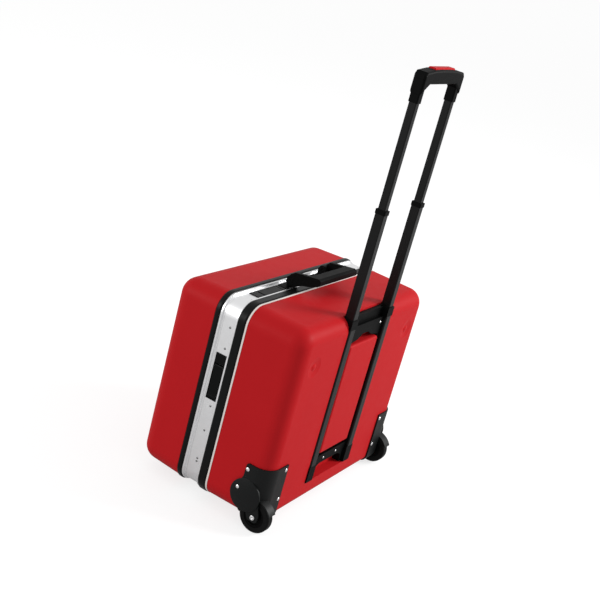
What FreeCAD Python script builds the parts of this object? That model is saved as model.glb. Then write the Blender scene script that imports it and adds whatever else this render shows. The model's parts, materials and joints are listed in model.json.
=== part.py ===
"""A rolling hard-shell laptop case with a two-stage trolley handle, built as an assembly.

Millimetres. +Z is up, X is the width and +Y points out of the back, where the trolley handle is.
The origin is under the middle of the case, on the floor that the wheels and feet stand on.
The case is drawn upright and closed, with the trolley handle fully out. Left is +X, the left
hand of a person who stands behind the case and holds the handle.
"""
import FreeCAD, Part
import math
import os

import Sketcher

Vector = FreeCAD.Vector
doc = FreeCAD.newDocument("rolling_case")
sheet = doc.addObject("Spreadsheet::Sheet", "sizes")

SIZES = {
    # the closed case
    "case_width": 542, "case_height": 440, "corner_radius": 42, "floor_gap": 17,
    "parting_y": -45, "lid_depth": 129, "base_depth": 193.5,
    "shell_wall": 3, "shell_inset": 2, "lid_draft": 5, "base_draft": 1.2,
    "lid_edge_radius": 34, "back_edge_radius": 34, "low_edge_radius": 15,
    "dimple_x": 203, "dimple_z": 370, "dimple_radius": 23, "dimple_depth": 2.2, "boss_radius": 9,
    # the two aluminium frames and what is clipped to them
    "band_inset": 6, "band_wall": 2.5, "lid_band": 9, "base_band": 34, "band_gap": 0.3,
    "rim_width": 3.6, "rim_height": 3.6,
    "lid_bumper_depth": 13, "base_bumper_depth": 21, "piping_depth": 4, "lip_inset": 8.6,
    "seal_depth": 4.2, "lining_inset": 19, "lining_wall": 4,
    # the recess in the back and the trolley handle in it
    "tube_x": 81, "tube_y": 139, "outer_width": 22, "outer_depth": 25,
    "middle_width": 18.4, "middle_depth": 21.4, "upper_width": 15, "upper_depth": 17.2,
    "outer_wall": 1.5, "middle_wall": 1.3, "upper_wall": 1.2, "tube_corner": 3,
    "outer_low": 102.5, "outer_top": 427.5, "middle_low": 377, "middle_top": 687,
    "upper_low": 629, "upper_top": 942,
    "recess_floor_y": 126, "recess_half": 94, "recess_low": 61.5, "recess_lip_y": 160,
    "panel_half": 62, "panel_low": 123, "panel_top": 384,
    "bracket_low": 63, "bracket_top": 449,
    # the grip at the top of the trolley handle
    "grip_half": 90, "grip_depth": 27.4, "grip_low": 924, "grip_under": 947,
    "grip_shoulder": 971, "grip_crown": 975, "grip_split": 956, "button_half": 45,
    "button_travel": 5, "push_rod_radius": 2.5,
    # wheels, axles and their corner housings
    "wheel_radius": 36, "wheel_width": 19, "wheel_inner_x": 245, "axle_y": 137,
    "axle_radius": 4, "hub_radius": 24, "bearing_radius": 8, "bearing_width": 4,
    "well_radius": 39, "fender_inner": 37.2, "fender_outer": 40.5,
    "well_x": 236, "well_y": 96, "well_top": 78,
    "guard_wall": 3.5, "guard_back_x": 199, "guard_top": 146, "cheek_inner_x": 264.8,
    "cheek_outer_x": 268.8, "hood_y": 108, "hood_z": 76, "hood_radius": 35, "hood_bulge": 4.5,
    "running_gap": 0.05,
    # latches
    "latch_length": 104, "latch_width": 27.5, "latch_proud": 1.6, "latch_sunk": 10,
    "latch_block": 22, "latch_y": -42.5, "side_latch_z": 282, "top_latch_x": 145,
    "tongue_reach": 3, "tongue_stroke": 4.2,
    # carrying handle
    "pivot_y": -22, "pivot_z": 472, "arm_outer_x": 78, "arm_width": 9,
    # lid hinge
    "hinge_y": -45.4, "hinge_z": 19, "knuckle_radius": 3, "hinge_pin_radius": 1.5,
    "hinge_length": 50, "hinge_pitch": 170,
    # feet
    "foot_x": 185, "foot_y": -138, "foot_radius": 14,
}
for row, (alias, value) in enumerate(SIZES.items(), start=1):
    sheet.set(f"A{row}", alias)
    sheet.set(f"B{row}", str(value))
    sheet.setAlias(f"B{row}", alias)
doc.recompute()


class Size:
    """A length worked out from the sheet: its value now, and the expression that gives it."""

    def __init__(self, text, value):
        self.text = text
        self.value = float(value)

    def __float__(self):
        return self.value

    def __add__(self, other):
        return Size(f"({self.text} + {text_of(other)})", self.value + float(other))

    def __sub__(self, other):
        return Size(f"({self.text} - {text_of(other)})", self.value - float(other))

    def __mul__(self, other):
        return Size(f"({self.text} * {text_of(other)})", self.value * float(other))

    def __truediv__(self, other):
        return Size(f"({self.text} / {text_of(other)})", self.value / float(other))

    def __radd__(self, other):
        return Size(text_of(other), other) + self

    def __rsub__(self, other):
        return Size(text_of(other), other) - self

    def __rmul__(self, other):
        return Size(text_of(other), other) * self

    def __neg__(self):
        return Size(f"(0 - {self.text})", -self.value)


def text_of(number):
    """The expression of a Size, or a plain number written so that an expression can hold it."""
    if isinstance(number, Size):
        return number.text
    return f"({float(number):.4f})"


class Sheet:
    """Gives each alias of the sheet as a Size."""

    def __getattr__(self, alias):
        return Size(f"sizes.{alias}", SIZES[alias])


S = Sheet()
HALF_WIDTH = S.case_width / 2
LID_FRONT_Y = S.parting_y - S.lid_depth
BASE_BACK_Y = S.parting_y + S.base_depth
BAND_X = HALF_WIDTH - S.band_inset
BAND_TOP = S.floor_gap + S.case_height - S.band_inset
BAND_BOTTOM = S.floor_gap + S.band_inset
TUBE_SIDES = (S.tube_x, -S.tube_x)


def bind(thing, path, number):
    """Binds one property of an object to an expression of the sheet."""
    thing.setExpression(path, text_of(number))


def place(thing, x, y, z):
    """Binds an object's position to expressions of the sheet."""
    for axis, number in (("x", x), ("y", y), ("z", z)):
        bind(thing, f"Placement.Base.{axis}", number)
    return thing


# ---------------------------------------------------------------- solids made of primitives

def box(name, x, y, z):
    """A box from a low to a high value along each axis."""
    block = doc.addObject("Part::Box", name)
    for path, (low, high) in (("Length", x), ("Width", y), ("Height", z)):
        bind(block, path, high - low)
    return place(block, x[0], y[0], z[0])


TURNS = {"x": FreeCAD.Rotation(Vector(0, 1, 0), 90), "z": FreeCAD.Rotation(),
         "y": FreeCAD.Rotation(Vector(1, 0, 0), -90)}


def rod(name, axis, start, length, radius):
    """A cylinder from its start point along +X, +Y or +Z."""
    piece = doc.addObject("Part::Cylinder", name)
    piece.Placement = FreeCAD.Placement(Vector(), TURNS[axis])
    bind(piece, "Radius", radius)
    bind(piece, "Height", length)
    return place(piece, *start)


def joined(name, *pieces):
    """One solid made of pieces that overlap."""
    result = doc.addObject("Part::MultiFuse", name)
    result.Shapes = list(pieces)
    return result


def cut(name, piece, *tools):
    """A piece with every tool taken away from it."""
    result = doc.addObject("Part::Cut", name)
    result.Base = piece
    result.Tool = tools[0] if len(tools) == 1 else group(f"{name}_tools", tools)
    return result


def shared(name, *pieces):
    """What the pieces have in common."""
    result = doc.addObject("Part::MultiCommon", name)
    result.Shapes = list(pieces)
    return result


def group(name, pieces):
    """Separate solids in one object."""
    result = doc.addObject("Part::Compound", name)
    result.Links = list(pieces)
    return result


def mirrored(name, piece):
    """The same piece on the other side of the plane X = 0."""
    result = doc.addObject("Part::Mirroring", name)
    result.Source = piece
    result.Normal = Vector(1, 0, 0)
    return result


def turned(name, piece, turn, x, y, z):
    """The same piece turned about the origin and then moved."""
    result = doc.addObject("Part::Compound", name)
    result.Links = [piece]
    result.Placement = FreeCAD.Placement(Vector(), turn)
    return place(result, x, y, z)


def rounded(name, piece, radius, wanted):
    """Rounds the edges of a piece for which wanted(edge) is true."""
    doc.recompute()
    result = doc.addObject("Part::Fillet", name)
    result.Base = piece
    result.Edges = [(number, radius, radius)
                    for number, edge in enumerate(piece.Shape.Edges, start=1) if wanted(edge)]
    return result


def runs_along(edge, axis):
    """True for a straight edge along one axis."""
    if edge.Curve.TypeId != "Part::GeomLine":
        return False
    run = edge.Vertexes[-1].Point - edge.Vertexes[0].Point
    return abs(run["xyz".index(axis)]) > 0.999 * run.Length


def lies_at(edge, axis, where):
    """True for an edge that lies in the plane where the axis has this value."""
    return all(abs(spot.Point["xyz".index(axis)] - float(where)) < 1e-3 for spot in edge.Vertexes)


# ---------------------------------------------------------------- bodies made from sketches

def new_sketch(body, name, role, offset=0):
    """A sketch on one of its body's own origin planes, moved along that plane's normal."""
    sketch = body.newObject("Sketcher::SketchObject", name)
    plane = next(item for item in body.Origin.OriginFeatures if item.Role == role)
    sketch.AttachmentSupport = [(plane, "")]
    sketch.MapMode = "FlatFace"
    bind(sketch, "AttachmentOffset.Base.z", offset)
    return sketch


def pin_point(sketch, part, point, x, y):
    """Holds a point of a sketch at two lengths from its origin."""
    for kind, number in (("DistanceX", x), ("DistanceY", y)):
        index = sketch.addConstraint(Sketcher.Constraint(kind, -1, 1, part, point, float(number)))
        bind(sketch, f"Constraints[{index}]", number)


def rounded_rectangle(sketch, left, right, low, high, radius):
    """Four arcs and four lines, held by the arcs' centres and radii."""
    reach = float(radius)
    centres = [(right - radius, high - radius), (left + radius, high - radius),
               (left + radius, low + radius), (right - radius, low + radius)]
    arcs = []
    for quarter, (x, y) in enumerate(centres):
        circle = Part.Circle(Vector(float(x), float(y), 0), Vector(0, 0, 1), reach)
        start = quarter * math.pi / 2
        arcs.append(sketch.addGeometry(Part.ArcOfCircle(circle, start, start + math.pi / 2)))
        pin_point(sketch, arcs[-1], 3, x, y)
        index = sketch.addConstraint(Sketcher.Constraint("Radius", arcs[-1], reach))
        bind(sketch, f"Constraints[{index}]", radius)
    for number, arc in enumerate(arcs):
        following = arcs[(number + 1) % 4]
        ends = [sketch.getPoint(arc, 2), sketch.getPoint(following, 1)]
        line = sketch.addGeometry(Part.LineSegment(*ends))
        sketch.addConstraint(Sketcher.Constraint("Tangent", arc, 2, line, 1))
        sketch.addConstraint(Sketcher.Constraint("Tangent", line, 2, following, 1))


def polygon(sketch, points):
    """Straight sides between points that are each held by two lengths."""
    spots = [Vector(float(x), float(y), 0) for x, y in points]
    lines = [sketch.addGeometry(Part.LineSegment(spot, spots[(number + 1) % len(spots)]))
             for number, spot in enumerate(spots)]
    for number, line in enumerate(lines):
        following = lines[(number + 1) % len(lines)]
        sketch.addConstraint(Sketcher.Constraint("Coincident", line, 2, following, 1))
        pin_point(sketch, line, 1, *points[number])


def pad(body, sketch, length):
    """Gives a body's sketch its thickness, along the sketch's normal."""
    feature = body.newObject("PartDesign::Pad", f"{body.Name}_pad")
    feature.Profile = sketch
    bind(feature, "Length", length)
    return body


def soften(body, radius, wanted):
    """Fillets the edges of a body's last feature for which wanted(edge) is true."""
    doc.recompute()
    last = body.Tip
    names = [f"Edge{number}" for number, edge in enumerate(last.Shape.Edges, start=1)
             if wanted(edge)]
    feature = body.newObject("PartDesign::Fillet", f"{body.Name}_fillet")
    feature.Base = (last, names)
    bind(feature, "Radius", radius)
    return body


def outline(sketch, inset):
    """The case's outline from the front, drawn in by an inset."""
    half = HALF_WIDTH - inset
    rounded_rectangle(sketch, -half, half, S.floor_gap + inset,
                      S.floor_gap + S.case_height - inset, S.corner_radius - inset)


def slab(name, y, inset, hole=None):
    """The case's outline between two planes across Y, with an optional hole of another inset."""
    body = doc.addObject("PartDesign::Body", name)
    sketch = new_sketch(body, f"{name}_sketch", "XZ_Plane", -y[1])
    outline(sketch, inset)
    if hole is not None:
        outline(sketch, hole)
    return pad(body, sketch, y[1] - y[0])


def tub(name, mouth, end, radius):
    """A drafted half of the case as a solid, from (y, inset) to (y, inset), its end rounded."""
    body = doc.addObject("PartDesign::Body", name)
    sketch = new_sketch(body, f"{name}_sketch", "XZ_Plane", -mouth[0])
    outline(sketch, mouth[1])
    backwards = float(end[0]) > float(mouth[0])
    depth = end[0] - mouth[0] if backwards else mouth[0] - end[0]
    draft = (end[1] - mouth[1]) / depth
    pad(body, sketch, depth)
    body.Tip.Reversed = backwards
    body.Tip.setExpression("TaperAngle", f"-1 * atan({draft.text})")
    return soften(body, radius, lambda edge: lies_at(edge, "y", end[0]))


def half_outline(points):
    """An outline that is the same on both sides of X = 0, from the points of its right half."""
    return points + [(-x, z) for x, z in reversed(points)]


def front_plate(name, y, points):
    """An outline seen from the front, as (X, Z) points, between two planes across Y."""
    body = doc.addObject("PartDesign::Body", name)
    sketch = new_sketch(body, f"{name}_sketch", "XZ_Plane", -y[1])
    polygon(sketch, points)
    return pad(body, sketch, y[1] - y[0])


def side_plate(name, x, points):
    """An outline seen from the side, as (Y, Z) points, between two planes across X."""
    body = doc.addObject("PartDesign::Body", name)
    sketch = new_sketch(body, f"{name}_sketch", "YZ_Plane", x[0])
    polygon(sketch, points)
    return pad(body, sketch, x[1] - x[0])


def bar_z(name, centre, z, width, depth, radius, wall=None):
    """An upright bar, or a tube with that wall, of rounded rectangular section."""
    body = doc.addObject("PartDesign::Body", name)
    sketch = new_sketch(body, f"{name}_sketch", "XY_Plane", z[0])
    x, y = centre
    for inset in (0,) if wall is None else (0, wall):
        rounded_rectangle(sketch, x - width / 2 + inset, x + width / 2 - inset,
                          y - depth / 2 + inset, y + depth / 2 - inset, radius - inset)
    return pad(body, sketch, z[1] - z[0])


nodes = {}


def node(name, thing):
    """Names a finished sub-part. Its label is the name of its file."""
    thing.Label = name
    nodes[name] = thing
    return thing


# ---------------------------------------------------------------- frames and bumpers

LID_BUMPER_Y = (S.parting_y - S.lid_band - S.lid_bumper_depth, S.parting_y - S.lid_band)
BASE_BUMPER_Y = (S.parting_y + S.base_band, S.parting_y + S.base_band + S.base_bumper_depth)
PIPING_Y = (BASE_BUMPER_Y[1], BASE_BUMPER_Y[1] + S.piping_depth)
LIP_INNER = S.lip_inset + S.shell_wall

# Each latch is drawn once, for the left side, and turned or mirrored into its place.
SIDE_LATCH_Z = (S.side_latch_z - S.latch_length / 2, S.side_latch_z + S.latch_length / 2)
TOP_LATCH_X = (S.top_latch_x - S.latch_length / 2, S.top_latch_x + S.latch_length / 2)
LATCH_Y = (S.latch_y, S.latch_y + S.latch_width)


def latch_openings(name):
    """The four openings that the latches stand in, cut through the base's frame and lip."""
    play = 0.1
    y = (LATCH_Y[0] - play, LATCH_Y[1] + play)
    side_z = (SIDE_LATCH_Z[0] - play, SIDE_LATCH_Z[1] + play)
    top_x = (TOP_LATCH_X[0] - play, TOP_LATCH_X[1] + play)
    depth = S.latch_sunk + play
    left = box(f"{name}_left", (BAND_X - depth, HALF_WIDTH), y, side_z)
    top = box(f"{name}_top", top_x, y, (BAND_TOP - depth, BAND_TOP + S.band_inset))
    return [left, mirrored(f"{name}_right", left), top, mirrored(f"{name}_top_right", top)]


RIVET_RADIUS = 1.6
RIVET_PLAY = 0.05
SIDE_RIVETS_Z = (395, 348, 216, 159, 92, 85)
TOP_RIVETS_X = (221,)
BOTTOM_RIVETS_X = (225, 110, 60)


def frame_rivet_spots():
    """Where the base frame is riveted to the shell's lip, as (place, outward axis)."""
    y = S.parting_y + 19
    spots = [(sign * BAND_X, y, z, "x", sign) for sign in (1, -1) for z in SIDE_RIVETS_Z]
    spots += [(sign * x, y + 8, BAND_TOP, "z", 1) for sign in (1, -1) for x in TOP_RIVETS_X]
    spots += [(sign * x, y, BAND_BOTTOM, "z", -1) for sign in (1, -1) for x in BOTTOM_RIVETS_X]
    return spots


def rivet_frame(spot):
    """The point of a rivet's head on the wall, and the direction out of the wall."""
    x, y, z, axis, sign = spot
    out = Vector(*(sign if letter == axis else 0 for letter in "xyz"))
    return Vector(float(x), float(y), float(z)), out


def rivet_solid(spot, shank, head_radius, head):
    """One rivet: a shank into the wall and a domed head outside it."""
    point, out = rivet_frame(spot)
    ball = (head_radius ** 2 + head ** 2) / (2 * head)
    low = math.degrees(math.asin((ball - head) / ball))
    dome = Part.makeSphere(ball, point - out * (ball - head), out, low, 90)
    return dome.fuse(Part.makeCylinder(RIVET_RADIUS, shank + head / 2, point - out * shank, out))


def rivet_hole(spot, shank):
    """The hole that a rivet's shank stands in."""
    point, out = rivet_frame(spot)
    return Part.makeCylinder(RIVET_RADIUS + RIVET_PLAY, shank + 1.5, point - out * (shank + 0.5), out)


def rivets(name, spots, shank, head_radius, head):
    """A Part::Feature of separate rivets."""
    feature = doc.addObject("Part::Feature", name)
    feature.Shape = Part.makeCompound(
        [rivet_solid(spot, shank, head_radius, head) for spot in spots])
    return feature


def rivet_holes(name, spots, shank):
    """The holes that those rivets stand in."""
    feature = doc.addObject("Part::Feature", name)
    feature.Shape = Part.makeCompound(
        [rivet_hole(spot, shank) for spot in spots])
    return feature


FRAME_SHANK = 5.0
frame_spots = frame_rivet_spots()
node("frame_rivets", rivets("frame_rivet_set", frame_spots, FRAME_SHANK, 2.6, 0.9))

HINGE_ENDS = [number * S.hinge_pitch - S.hinge_length / 2 for number in (-1, 0, 1)]


def frame_rim(name, y):
    """The raised rim of a frame beside its bumper, left out where the hinges' leaves lie."""
    ring = slab(f"{name}_ring", y, S.band_inset - S.rim_height, S.band_inset + 1)
    gaps = [box(f"{name}_gap_{number}", (start - 1, start + S.hinge_length + 1), y,
                (0, BAND_BOTTOM)) for number, start in enumerate(HINGE_ENDS)]
    return cut(name, ring, *gaps)


base_band = slab("base_band", (S.parting_y, BASE_BUMPER_Y[1] - 1), S.band_inset,
                 S.band_inset + S.band_wall)
base_rim = frame_rim("base_rim", (BASE_BUMPER_Y[0] - S.rim_width, BASE_BUMPER_Y[0]))
node("base_frame", cut("base_frame_cut", joined("base_frame_whole", base_band, base_rim),
                       *latch_openings("frame_gap"),
                       rivet_holes("frame_holes", frame_spots, FRAME_SHANK)))
lid_band = slab("lid_band_ring", (LID_BUMPER_Y[0] + 1, S.parting_y - S.band_gap), S.band_inset,
                S.band_inset + S.band_wall)
lid_rim = frame_rim("lid_rim", (LID_BUMPER_Y[1], LID_BUMPER_Y[1] + S.rim_width))
node("lid_frame", joined("lid_frame_whole", lid_band, lid_rim))


def bumper(name, y, corner):
    """A black moulding round the frame, with its two outer edges rounded."""
    ring = slab(f"{name}_ring", y, 0, S.band_inset)

    def outer(edge):
        box_of = edge.BoundBox
        on_edge = lies_at(edge, "y", y[0]) or lies_at(edge, "y", y[1])
        far = max(abs(box_of.XMax), abs(box_of.XMin), key=abs) > float(BAND_X) + 1
        high = box_of.ZMax > float(BAND_TOP) + 1 or box_of.ZMin < float(BAND_BOTTOM) - 1
        return on_edge and (far or high)
    return node(name, soften(ring, corner, outer))


bumper("lid_bumper", LID_BUMPER_Y, 4)
bumper("base_bumper", BASE_BUMPER_Y, 4.5)
node("base_piping", slab("piping_ring", PIPING_Y, 1.2, S.band_inset + 1))

# ---------------------------------------------------------------- shells

SHELL_MOUTH = PIPING_Y[1]
INNER_MOUTH = SHELL_MOUTH + S.shell_wall


def base_outside(name, grow):
    """The outside of the base, grown by a distance everywhere. Its lower back edge is sharper."""
    mouth = (SHELL_MOUTH - grow, S.shell_inset - grow)
    end = (BASE_BACK_Y + grow, S.shell_inset + S.base_draft - grow)
    sharper = shared(f"{name}_low", tub(f"{name}_low_tub", mouth, end, S.low_edge_radius + grow),
                     box(f"{name}_low_limit", (-S.well_x - grow, S.well_x + grow),
                         (SHELL_MOUTH + 5, BASE_BACK_Y + 10), (0, 75)))
    return joined(name, tub(f"{name}_tub", mouth, end, S.back_edge_radius + grow), sharper)


def trolley_recess(name, grow):
    """The sunk ring in the back that holds the tubes and the two brackets, round its panel."""
    ring = box(f"{name}_ring", (-S.recess_half - grow, S.recess_half + grow),
               (S.recess_floor_y - grow, S.recess_lip_y),
               (S.recess_low - grow, S.floor_gap + S.case_height + 2))
    panel = box(f"{name}_panel_block", (-S.panel_half + grow, S.panel_half - grow),
                (S.recess_floor_y - 8, BASE_BACK_Y - grow), (S.panel_low + grow, S.panel_top - grow))
    soft = rounded(f"{name}_panel", panel, 6,
                   lambda edge: lies_at(edge, "y", BASE_BACK_Y - grow) or runs_along(edge, "y"))
    return cut(name, ring, soft)


def wheel_well(name, grow):
    """The corner of the base that the left wheel and its housing stand in."""
    return box(name, (S.well_x - grow, HALF_WIDTH + 10), (S.well_y - grow, BASE_BACK_Y + 20),
               (-1, S.well_top + grow))


HOOD_X = HALF_WIDTH + 1.5
GUARD_RIVETS = [(HOOD_X, 100, 133, "x", 1), (HOOD_X + 1.9, 88.4, 86.8, "x", 1),
                (206, BASE_BACK_Y + S.guard_wall, 135.3, "y", 1),
                (206, BASE_BACK_Y + S.guard_wall, 65.8, "y", 1)]
GUARD_SHANK = 6.0


def both_sides(spots):
    """The spots and their mirror images across X = 0."""
    flipped = [(-x, y, z, axis, -sign if axis == "x" else sign) for x, y, z, axis, sign in spots]
    return list(spots) + flipped


guard_holes = rivet_holes("guard_holes", both_sides(GUARD_RIVETS), GUARD_SHANK)
node("housing_rivets", rivets("housing_rivet_set", both_sides(GUARD_RIVETS), GUARD_SHANK, 4.4, 1.8))

# The two brackets fill the recess from its floor to the outer tubes' backs.
BRACKET_Y = (S.recess_floor_y, S.tube_y + S.outer_depth / 2)
CROSSBAR_STEP = 7.5
SCREW_SHANK = 20.0
screw_spots = [(x, BRACKET_Y[1] - CROSSBAR_STEP, z, "y", 1) 
                for x, z in ((60, 415), (-60, 415), (27, 102.5), (-27, 102.5))]
screw_holes = rivet_holes("bracket_holes", screw_spots, SCREW_SHANK)
node("bracket_screws", rivets("bracket_screw_set", screw_spots, SCREW_SHANK, 2.7, 1.1))



def dish(name, boss):
    """The shallow round dish pressed into the back at the left, or the boss in its middle."""
    radius = boss if boss else S.dimple_radius
    ball_radius = (radius * radius + S.dimple_depth * S.dimple_depth) / (2 * S.dimple_depth)
    ball = doc.addObject("Part::Sphere", f"{name}_ball")
    bind(ball, "Radius", ball_radius)
    if not boss:
        return place(ball, S.dimple_x, BASE_BACK_Y - S.dimple_depth + ball_radius, S.dimple_z)
    place(ball, S.dimple_x, BASE_BACK_Y - ball_radius, S.dimple_z)
    return shared(name, ball, rod(f"{name}_limit", "y", (S.dimple_x, BASE_BACK_Y - 2.5, S.dimple_z),
                                  4, boss))


play = 0.1
left_dish = dish("left_dish", None)
left_boss = dish("left_boss", S.boss_radius)
base_plain = joined("base_plain", base_outside("base_outer", 0),
                    slab("base_lip", (S.parting_y + 0.4, SHELL_MOUTH + 1), S.lip_inset))
base_solid = joined("base_solid", cut("base_dished", base_plain, left_dish,
                                      mirrored("right_dish", left_dish)),
                    left_boss, mirrored("right_boss", left_boss))
left_well = wheel_well("left_well", play)
base_sunk = cut("base_sunk", base_solid, trolley_recess("recess", 0), left_well,
                mirrored("right_well", left_well))
inner_tub = tub("base_inner", (INNER_MOUTH, S.shell_inset + S.shell_wall),
                (BASE_BACK_Y - S.shell_wall, S.shell_inset + S.base_draft + S.shell_wall),
                S.back_edge_radius - S.shell_wall)
inner_lip = slab("base_lip_inner", (S.parting_y - 1, INNER_MOUTH + 1), LIP_INNER)
left_well_wall = wheel_well("left_well_wall", S.shell_wall + play)
base_hollow = cut("base_hollow", joined("base_room", inner_tub, inner_lip),
                  trolley_recess("recess_wall", S.shell_wall), left_well_wall,
                  mirrored("right_well_wall", left_well_wall))
node("base_shell", cut("base_shell_cut", base_sunk, base_hollow, *latch_openings("lip_gap"),
                       guard_holes, screw_holes, rivet_holes("lip_holes", frame_spots, FRAME_SHANK)))

lid_solid = joined(
    "lid_solid",
    tub("lid_outer", (LID_BUMPER_Y[0], S.shell_inset), (LID_FRONT_Y, S.shell_inset + S.lid_draft),
        S.lid_edge_radius),
    slab("lid_lip", (LID_BUMPER_Y[0] - 1, S.parting_y - S.band_gap - S.seal_depth), S.lip_inset))
lid_hollow = joined(
    "lid_room",
    tub("lid_inner", (LID_BUMPER_Y[0] - S.shell_wall, S.shell_inset + S.shell_wall),
        (LID_FRONT_Y + S.shell_wall, S.shell_inset + S.lid_draft + S.shell_wall),
        S.lid_edge_radius - S.shell_wall),
    slab("lid_lip_inner", (LID_BUMPER_Y[0] - S.shell_wall - 1, S.parting_y), LIP_INNER))
node("lid_shell", cut("lid_shell_cut", lid_solid, lid_hollow))
node("lid_seal", slab("seal_ring", (S.parting_y - S.band_gap - S.seal_depth + 0.05,
                                    S.parting_y - S.band_gap), S.lip_inset, LIP_INNER))

# ---------------------------------------------------------------- linings

lining_back = S.recess_floor_y - S.shell_wall - 1
base_lining = cut("base_lining_room",
                  slab("base_lining_out", (S.parting_y + 3, lining_back), S.lining_inset),
                  slab("base_lining_in", (S.parting_y + 2, lining_back - S.lining_wall),
                       S.lining_inset + S.lining_wall))
lining_well = wheel_well("lining_well", S.shell_wall + 1)
lining_skin = wheel_well("lining_well_skin", S.shell_wall + 1 + S.lining_wall)
lining_block = shared("lining_well_block", lining_skin,
                      slab("lining_well_slab", (S.parting_y + 3, lining_back), S.lining_inset))
padded = joined("lining_padded", base_lining, lining_block,
                mirrored("lining_block_right", lining_block))
node("base_lining", cut("base_lining_cut", padded, lining_well,
                        mirrored("lining_well_right", lining_well)))
lid_lining_y = (LID_FRONT_Y + S.shell_wall + 1, S.parting_y - 10)
lid_lining_inset = S.lining_inset + 3
lid_lining_radius = S.lid_edge_radius - 14
node("lid_lining", cut(
    "lid_lining_cut",
    tub("lid_lining_out", (lid_lining_y[1], lid_lining_inset), (lid_lining_y[0], lid_lining_inset),
        lid_lining_radius),
    tub("lid_lining_in", (lid_lining_y[1] + 1, lid_lining_inset + S.lining_wall),
        (lid_lining_y[0] + S.lining_wall, lid_lining_inset + S.lining_wall),
        lid_lining_radius - S.lining_wall)))

# ---------------------------------------------------------------- wheel housings and wheels

AXLE_Z = S.wheel_radius
WHEEL_X = (S.wheel_inner_x, S.wheel_inner_x + S.wheel_width)


def guard_skin(name):
    """The moulding wrapped over the corner of the base, down to the hood on its side."""
    side = side_plate(f"{name}_side", (S.well_x, HALF_WIDTH + 9),
                      [(95, S.guard_top), (94, 116), (90, 105), (82, 96), (S.hood_y - 30, S.hood_z),
                       (S.hood_y + S.hood_radius, S.hood_z), (175, S.hood_z), (175, S.guard_top)])
    side = soften(side, 6, lambda edge: runs_along(edge, "x") and 93 < edge.BoundBox.YMax < 96)
    back = box(f"{name}_back", (S.guard_back_x, S.well_x + 1), (S.well_y, BASE_BACK_Y + 9),
               (2, S.guard_top))
    return shared(f"{name}_skin", base_outside(f"{name}_grown", S.guard_wall),
                  joined(f"{name}_area", side, back))


def hood(name):
    """The round bulge on the housing's side, over the upper part of the wheel."""
    flat = rod(f"{name}_flat", "x", (S.cheek_inner_x + 2, S.hood_y, S.hood_z),
               HOOD_X - S.cheek_inner_x - 2, S.hood_radius)
    ball_radius = (S.hood_radius * S.hood_radius + S.hood_bulge * S.hood_bulge) / (2 * S.hood_bulge)
    ball = doc.addObject("Part::Sphere", f"{name}_ball")
    bind(ball, "Radius", ball_radius)
    place(ball, HOOD_X + S.hood_bulge - ball_radius, S.hood_y, S.hood_z)
    cap = shared(f"{name}_cap", ball, rod(f"{name}_limit", "x", (HOOD_X - 1, S.hood_y, S.hood_z),
                                          S.hood_bulge + 2, S.hood_radius + 1))
    return joined(name, flat, cap)


def cheek_plate(name):
    """The tab that carries the outer end of the axle, hanging from the housing's side."""
    body = doc.addObject("PartDesign::Body", name)
    sketch = new_sketch(body, f"{name}_sketch", "YZ_Plane", S.cheek_inner_x)
    polygon(sketch, [(S.axle_y - 11, AXLE_Z - 10), (S.axle_y + 11, AXLE_Z - 10),
                     (S.axle_y + 13, AXLE_Z + 8), (S.axle_y + 2, S.hood_z),
                     (S.axle_y - 45, S.hood_z), (S.axle_y - 24, AXLE_Z + 15)])
    pad(body, sketch, S.cheek_outer_x - S.cheek_inner_x)
    return soften(body, 8, lambda edge: runs_along(edge, "x") and edge.BoundBox.ZMax < 50)


def housing(name):
    """The left wheel's corner housing: skin, well walls, hood and the cheek at the axle."""
    block = shared(f"{name}_block", base_outside(f"{name}_form", S.guard_wall),
                   box(f"{name}_block_box", (S.well_x, HALF_WIDTH + 9),
                       (S.well_y, BASE_BACK_Y + 9), (2, S.well_top)))
    below = side_plate(f"{name}_below", (S.cheek_inner_x, HALF_WIDTH + 9),
                       [(S.hood_y, 0), (S.hood_y, S.hood_z), (BASE_BACK_Y + 9, S.hood_z),
                        (BASE_BACK_Y + 9, 0)])
    shelled = joined(f"{name}_shelled", cut(f"{name}_open", block, below),
                     guard_skin(f"{name}_guard"))
    whole = joined(f"{name}_whole", shelled, hood(f"{name}_hood"), cheek_plate(f"{name}_cheek"))
    room = rod(f"{name}_room", "x", (S.wheel_inner_x - 1.5, S.axle_y, AXLE_Z),
               S.cheek_inner_x - S.wheel_inner_x + 1.5, S.well_radius)
    seats = [rod(f"{name}_seat_{number}", "x", (x, y, z), 6, 4.5)
             for number, (x, y, z, axis, _) in enumerate(GUARD_RIVETS) if axis == "x"]
    axle_hole = rod(f"{name}_axle_hole", "x", (S.well_x - 1, S.axle_y, AXLE_Z), 60,
                    S.axle_radius + 0.02)
    base = cut(f"{name}_base", base_outside(f"{name}_base_form", 0.1),
               wheel_well(f"{name}_well", 0))
    fender = shared(f"{name}_fender",
                    cut(f"{name}_fender_ring",
                        rod(f"{name}_fender_out", "x", (S.wheel_inner_x - 2, S.axle_y, AXLE_Z),
                            S.cheek_inner_x - S.wheel_inner_x + 3, S.fender_outer),
                        rod(f"{name}_fender_in", "x", (S.wheel_inner_x - 3, S.axle_y, AXLE_Z),
                            S.cheek_inner_x - S.wheel_inner_x + 5, S.fender_inner)),
                    box(f"{name}_fender_limit", (S.wheel_inner_x - 3, HALF_WIDTH),
                        (S.axle_y - 6, S.axle_y + 50), (AXLE_Z + 18, S.well_top)))
    opened = cut(f"{name}_opened", whole, base, room, axle_hole, guard_holes, *seats)
    return joined(f"{name}_done", opened, fender)


left_housing = housing("housing")
node("wheel_housing_left", left_housing)
node("wheel_housing_right", mirrored("housing_right", left_housing))

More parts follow.
